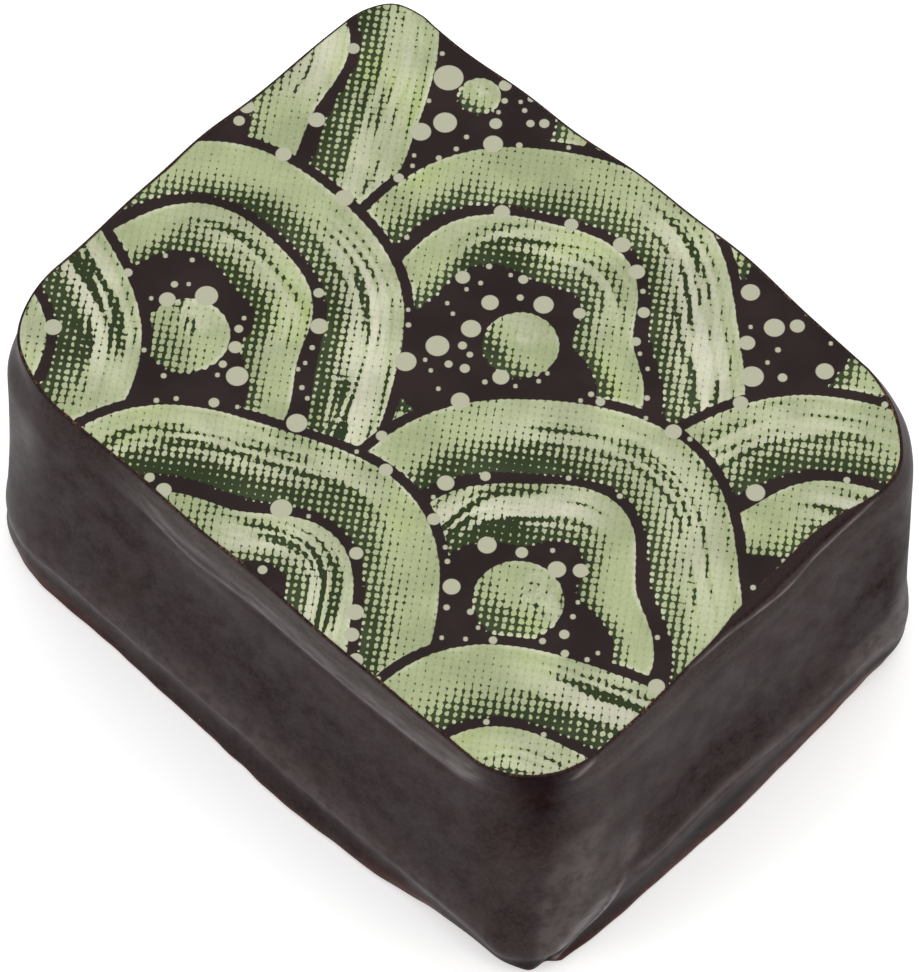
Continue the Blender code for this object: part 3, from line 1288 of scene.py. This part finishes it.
@dataclass(frozen=True)
class WaveDesign:
    """A generic print: overlapping wave crests, with pale dots strewn in the gaps."""

    dot_seed: int = 12
    dot_tries: int = 300
    dot_room: float = 0.16
    largest_dot: float = 0.52

    def fans(self) -> tuple[Fan, ...]:
        """The crests, from the one at the back to the one in front."""
        return (
            Fan((-9.0, 10.5), 12.5, 100, (3.6, 3.2, 2.6, 3.0), 1, 3),
            Fan((8.0, 11.5), 12.0, 80, (4.0, 3.2, 2.4, 3.0), 0, 8),
            Fan((-18.0, 3.0), 10.4, 55, (3.6, 3.0, 3.0), 1, 5),
            Fan((0.5, 3.0), 9.8, 85, (3.5, 2.8, 3.0), 0, 11),
            Fan((17.0, 2.5), 10.0, 120, (3.6, 3.0, 3.0), 1, 2),
            Fan((-9.5, -6.0), 9.4, 75, (3.2, 2.6, 2.8), 0, 17),
            Fan((8.6, -5.6), 9.8, 100, (3.6, 2.8, 2.8), 1, 6),
            Fan((-19.0, -14.0), 10.8, 60, (3.6, 3.0, 3.0), 0, 9),
            Fan((-0.2, -14.6), 9.8, 85, (3.4, 2.8, 3.0), 1, 14),
            Fan((17.5, -14.0), 10.4, 115, (3.6, 2.9, 3.0), 0, 4),
        )

    def fields(self, x: Array, y: Array) -> dict[Ink, Array]:
        """The whole print: each crest covers what lies under it.

        Where a crest starts, what is under it ends: the lit distance is cut to the distance
        outside the crest, and the crest's own is put over it.

        Args:
            x: positions along the face.
            y: positions across it.

        Returns:
            The print's values at each point, apart from the border's.
        """
        layers = {Ink.LIT: np.full(x.shape, -9.0)}
        layers |= {ink: np.zeros(x.shape) for ink in (Ink.TONE, Ink.CREAM, Ink.SHADE)}
        for fan in self.fans():
            depth, turn, away = fan.inside(x, y)
            own = fan.rings(depth, turn, away)
            under = np.minimum(layers[Ink.LIT], -depth)
            layers[Ink.LIT] = np.maximum(under, np.minimum(own[Ink.LIT], depth))
            for ink in (Ink.TONE, Ink.CREAM, Ink.SHADE):
                layers[ink] = np.where(depth > 0, own[ink], layers[ink])
        layers[Ink.DOTS] = self.dots(x, y, layers[Ink.LIT])
        return layers

    def dots(self, x: Array, y: Array, lit: Array) -> Array:
        """Round dots in the gaps between the rings, sized by the room there and a draw.

        Args:
            x: positions along the face, on the print's grid.
            y: positions across it.
            lit: the lit distance there, below 0 in a gap.

        Returns:
            The distance inside the nearest dot, below 0 outside.
        """
        draw = np.random.default_rng(self.dot_seed)
        flat = np.stack([x.ravel(), y.ravel(), lit.ravel()], axis=-1)
        gap_points = flat[(flat[:, 2] < -0.08) & (flat[:, 2] > -2.5)]
        tries = gap_points[draw.integers(0, len(gap_points), self.dot_tries)]
        sizes = 0.11 + self.largest_dot * draw.random(self.dot_tries) ** 2.8
        kept: list[tuple[float, float, float]] = []
        for (dot_x, dot_y, room), size in zip(tries, sizes):
            radius = min(size, 0.22 - room)
            room_round = radius + self.dot_room
            if all(np.hypot(dot_x - a, dot_y - b) > room_round + c for a, b, c in kept):
                kept.append((dot_x, dot_y, radius))
        nearest = np.full(x.shape, -9.0)
        for dot_x, dot_y, radius in kept:
            nearest = np.maximum(nearest, radius - np.hypot(x - dot_x, y - dot_y))
        return nearest


@dataclass
class Coat:
    """The chocolate coat: the whole piece but for its printed film."""

    form: Form
    finish: ChocolateFinish = field(default_factory=ChocolateFinish)
    slow_size: float = 4.5
    slow_depth: float = 0.045
    small_size: float = 1.2
    small_depth: float = 0.010

    def marks(self, stations: Array, where: Array, heights: Array) -> dict[Mark, Array]:
        """Where the rim, shoulder, groove, foot and near corner are, and where highlights and shade
        are painted: on the crests, in the clouds, in the groove and at the near corner.

        The painted shade at the near corner, where roughness and specular level are also lower, is a
        bell in
        stations: wide and a little turned at the top, narrow and faint below.

        Args:
            stations: station numbers round the outline.
            where: each row's place among the profile's levels.
            heights: each row's height.

        Returns:
            A value for each vertex, by mark.
        """
        form, row = self.form, where[:, None]
        height = np.repeat(heights[:, None], len(stations), axis=1)
        spread = 0.050 + 0.185 * np.clip((height - 9.0) / 6.0, 0, 1)
        leaning = stations + 0.045 * smooth_step(height, 8.0, 15.0)
        corner = bell_round(leaning, Station.NEAR + 0.06, spread)
        faint = 0.17 * smooth_step(height, 3.0, 5.0)
        reach = smooth_step(row, 0.4, 1.6)
        reach = reach * (faint + (1 - faint) * smooth_step(height, 8.8, 14.2))
        shoulder = smooth_step(row, 0.6, 2.0) * (1 - smooth_step(row, 2.7, 3.7))
        below_rim = smooth_step(row, 0.5, 1.5)
        bare_edge = bell_round(stations, form.bare_station, 0.42, 6)
        # painted shade in the groove above the foot
        groove = bell(row, 9.3, 0.9, 4) * (0.3 + 0.7 * bell_round(stations, 2.9, 1.1, 4))
        foot = np.repeat(smooth_step(row, 10.55, 11.05), len(stations), axis=1)
        # painted highlights along the crease crests
        crests = [crease.shine * crease.share_at(stations, height) for crease in form.creases()]
        return {
            Mark.RIM: (1 - below_rim) * (1 - bare_edge),
            Mark.SHOULDER: shoulder * form.shoulder_share(stations)[None, :],
            Mark.CREST_HIGHLIGHT: np.max(crests, axis=0),
            Mark.PAINTED_HIGHLIGHT_AND_SHADE: sum(patch.share_at(stations, height) for patch in form.clouds()),
            Mark.GROOVE_SHADE: groove,
            Mark.FOOT: foot,
            Mark.THIN: sum(patch.share_at(stations, height) for patch in form.thin_spots()),
            Mark.NEAR_CORNER: corner * reach,
        }

    def build(self, effects: Effects) -> tuple[bpy.types.Object, Array]:
        """Makes the coat, closed by flat faces under the print and under the foot.

        Args:
            effects: the shared node groups.

        Returns:
            The coat, and the shift in plan that centres it on the solid.
        """
        points, stations, where, heights = self.form.surface()
        shift = centring(points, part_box(NODE))
        points[..., :2] += shift
        out = points[..., :2] / np.linalg.norm(points[..., :2], axis=-1, keepdims=True)
        ease = smooth_step(where, 1.6, 3.2) * (1 - smooth_step(where, 10.6, 11.6))
        run = along_the_run(points, 0.35)
        relief = self.slow_depth * layered_noise(run, self.slow_size, 2, 70)
        relief = relief + self.small_depth * layered_noise(run, self.small_size, 2, 80)
        points[..., :2] += out * (relief * ease[:, None])[..., None]

        index = np.arange(points[..., 0].size).reshape(points.shape[:2])
        faces = joined_rows(index, closed=True)
        faces += [index[0].tolist(), index[-1][::-1].tolist()]
        marks = self.marks(stations, where, heights)
        piece = new_object("coat", points.reshape(-1, 3), faces, marks)
        piece.data.materials.append(self.finish.material(effects))
        return piece, shift


@dataclass
class PrintedFace:
    """The printed film that lies on the coat's flat top."""

    form: Form
    design: WaveDesign = field(default_factory=WaveDesign)
    finish: PrintFinish = field(default_factory=PrintFinish)
    spacing: float = 0.102
    proud: float = 0.030
    tuck: float = 0.035
    inset: float = 0.010
    push_fade: float = 3.0
    edge_round: float = 0.05

    def lattice(self) -> Array:
        """A square lattice eased into the rounded rectangle.

        In each corner's square a lattice point (a, b) goes to
        (a sqrt(1 - b^2 / 2), b sqrt(1 - a^2 / 2)), which carries the square's two outer
        sides onto the corner's arc and leaves its inner sides where they are.

        Returns:
            Points of the face, one row for each line along X.
        """
        half = np.array([self.form.length, self.form.width]) / 2
        counts = np.ceil(2 * half / self.spacing).astype(int) + 1
        x = np.linspace(-half[0], half[0], counts[0])
        y = np.linspace(-half[1], half[1], counts[1])
        grid = np.stack(np.meshgrid(x, y), axis=-1)
        sides = np.array([(-1, -1), (1, -1), (1, 1), (-1, 1)])
        for side, radius in zip(sides, self.form.face_radii):
            a, b = np.moveaxis((grid * side - (half - radius)) / radius, -1, 0)
            inside = (a > 0) & (b > 0)
            a, b = np.where(inside, a, 0), np.where(inside, b, 0)
            bent = np.stack([a * np.sqrt(1 - b * b / 2), b * np.sqrt(1 - a * a / 2)], axis=-1)
            corner = ((half - radius) + bent * radius) * side
            grid = np.where(inside[..., None], corner, grid)
        return grid

    def margin(self, stations: Array) -> Array:
        """Width of the bare strip between the print's edge and the rim."""
        front = bell_round(stations, self.form.bare_station, 0.27, 4)
        return 0.50 * front + 0.05 * bell_round(stations, 7.2, 0.5)

    def followed(self, grid: Array) -> tuple[Array, Array]:
        """Moves the lattice's outer part as the coat's edge run and ripples move the rim.

        Each point takes the push of the nearest point of the outline, fading to nothing
        a few millimetres inside it.

        Args:
            grid: points of the rounded rectangle.

        Returns:
            The moved points, and their distances inside the rim and inside the print's edge.
        """
        form = self.form
        rim, normals, stations = form.outline(form.face_radii)
        push = form.edge_run().along(stations) + form.unevenness(rim, form.height) - self.inset
        flat = grid.reshape(-1, 2)
        nearest = np.concatenate([
            ((block[:, None, :] - rim[None]) ** 2).sum(axis=-1).argmin(axis=1)
            for block in np.array_split(flat, 60)
        ])
        depth = -((flat - rim[nearest]) * normals[nearest]).sum(axis=-1)
        share = 1 - smooth_step(depth, 0, self.push_fade)
        moved = flat + normals[nearest] * (push[nearest] * share)[:, None]
        inside = depth - self.margin(stations)[nearest]
        depths = np.stack([depth, inside]).reshape(2, *grid.shape[:2])
        return moved.reshape(grid.shape), depths

    def build(self, effects: Effects, shift: Array) -> bpy.types.Object:
        """Makes the film: a fine grid on top, a rim that turns down into the coat, a flat back.

        Args:
            effects: the shared node groups.
            shift: the coat's shift in plan.

        Returns:
            The film.
        """
        grid, (depth, inside) = self.followed(self.lattice())
        layers = self.design.fields(grid[..., 0], grid[..., 1])
        layers[Ink.BORDER] = inside
        turned_down = np.exp(-np.clip(depth, 0, None) / self.edge_round) * 0.6 * self.proud
        sway = 0.006 * layered_noise(grid, 3.0, 2, 90)
        top = self.form.height + self.proud + sway - turned_down
        points = np.concatenate([grid + shift, top[..., None]], axis=-1).reshape(-1, 3)

        rows, places = grid.shape[:2]
        index = np.arange(rows * places).reshape(rows, places)
        faces = [face[::-1] for face in joined_rows(index, closed=False)]
        edge = np.concatenate([index[0, :-1], index[:-1, -1], index[-1, :0:-1], index[:0:-1, 0]])
        under = points[edge] - np.array([0, 0, self.proud + self.tuck])
        under_index = len(points) + np.arange(len(edge))
        faces += joined_rows(np.stack([edge, under_index]), closed=True)
        faces.append(under_index[::-1].tolist())
        marks = {
            ink: np.concatenate([values.ravel(), values.ravel()[edge]])
            for ink, values in layers.items()
        }
        piece = new_object("printed_face", np.vstack([points, under]), faces, marks)
        piece.data.materials.append(self.finish.material(effects))
        return piece


@dataclass(frozen=True)
class SoftBox:
    """A square area light that looks at a point near the piece."""

    name: str
    place: tuple[float, float, float]
    size: float
    power: float
    tint: Colour = (1.0, 1.0, 1.0)

    def build(self, aim: Vector) -> None:
        """Adds the light.

        Args:
            aim: the point that it is turned towards.
        """
        lamp = bpy.data.lights.new(self.name, "AREA")
        lamp.shape = "SQUARE"
        lamp.size = self.size
        lamp.energy = self.power
        lamp.color = self.tint
        holder = bpy.data.objects.new(self.name, lamp)
        holder.location = self.place
        holder.rotation_euler = (aim - Vector(self.place)).to_track_quat("-Z", "Y").to_euler()
        bpy.context.scene.collection.objects.link(holder)


@dataclass(frozen=True)
class Studio:
    """A pale floor, soft light from all round, and the camera, in metres."""

    floor_reach: float = 0.9
    floor_steps: int = 24
    floor_colour: Colour = (0.90, 0.90, 0.90)
    floor_glow: float = 0.38
    sky: Colour = (1.0, 1.0, 1.0)
    sky_strength: float = 0.62
    camera_place: tuple[float, float, float] = (0.106461, -0.110205, 0.267514)
    camera_aim: tuple[float, float, float] = (0.000313, -0.000190, 0.007392)
    lens: float = 288.0
    sensor: float = 36.0

    def softboxes(self) -> tuple[SoftBox, ...]:
        """Large lights: one overhead, one low at the right and a weak one at the front left."""
        return (
            SoftBox("overhead softbox", (-0.05, 0.10, 0.60), 0.50, 1.5),
            SoftBox("right softbox", (0.50, 0.16, 0.22), 0.20, 0.5, (1.0, 0.92, 0.84)),
            SoftBox("front left softbox", (-0.20, -0.50, 0.25), 0.20, 0.7),
        )

    def build_floor(self, effects: Effects) -> None:
        """A flat grid at the foot of the piece, with a faint unevenness in its colour.

        Args:
            effects: the shared node groups.
        """
        steps = np.linspace(-self.floor_reach, self.floor_reach, self.floor_steps + 1)
        plan = np.stack(np.meshgrid(steps, steps), axis=-1)
        level = np.full(plan.shape[:2] + (1,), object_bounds()[0][2])
        points = np.concatenate([plan, level], axis=-1).reshape(-1, 3) / MM
        index = np.arange(len(points)).reshape(plan.shape[:2])
        faces = [face[::-1] for face in joined_rows(index, closed=False)]
        floor = new_object("floor", points, faces)
        material, sheet, shader = new_material("pale floor")
        mottling = sheet.group(
            effects.mottling, Place=sheet.millimetres(), Cloud_Size=40.0, Grain_Size=3.0
        )
        dimmer = tuple(0.985 * channel for channel in self.floor_colour)
        sheet.give(
            shader, Base_Color=sheet.blend(mottling["Cloud"], dimmer, self.floor_colour),
            Roughness=0.9, Specular_IOR_Level=0.1,
            Emission_Color=(1.0, 1.0, 1.0), Emission_Strength=self.floor_glow,
        )
        floor.data.materials.append(material)
        floor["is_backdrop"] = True

    def build_camera(self) -> None:
        """The camera, in front of the near corner and well above it."""
        lens = bpy.data.cameras.new("camera")
        lens.sensor_fit = "HORIZONTAL"
        lens.sensor_width = self.sensor
        lens.lens = self.lens
        lens.clip_start = 0.01
        holder = bpy.data.objects.new("camera", lens)
        holder.location = self.camera_place
        sight = Vector(self.camera_aim) - Vector(self.camera_place)
        holder.rotation_euler = sight.to_track_quat("-Z", "Y").to_euler()
        bpy.context.scene.collection.objects.link(holder)
        bpy.context.scene.camera = holder

    def build(self, effects: Effects) -> None:
        """Builds the floor, the lights, the sky and the camera.

        Args:
            effects: the shared node groups.
        """
        self.build_camera()
        self.build_floor(effects)
        for softbox in self.softboxes():
            softbox.build(Vector(self.camera_aim))
        world = bpy.data.worlds.new("studio")
        world.use_nodes = True
        light = world.node_tree.nodes["Background"]
        light.inputs["Color"].default_value = (*self.sky, 1.0)
        light.inputs["Strength"].default_value = self.sky_strength
        bpy.context.scene.world = world
        bpy.context.scene.view_settings.view_transform = "Standard"
        bpy.context.scene.view_settings.look = "None"


def declare(piece: bpy.types.Object, node: Optional[str] = None) -> None:
    """Tells the frame what carries a piece, and hides the node that it stands for.

    Args:
        piece: the finished piece.
        node: the node that it replaces, if any.
    """
    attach(piece, "root")
    if node:
        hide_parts(node)
    log.info("%s: %d faces", piece.name, len(piece.data.polygons))


def main() -> None:
    """Builds the studio, the coat and the printed face."""
    logging.basicConfig(level=logging.INFO, format="%(name)s: %(message)s")
    effects = Effects()
    Studio().build(effects)
    form = Form()
    coat, shift = Coat(form).build(effects)
    declare(coat, NODE)
    film = PrintedFace(form).build(effects, shift)
    declare(film)


if __name__ == "__main__":
    main()
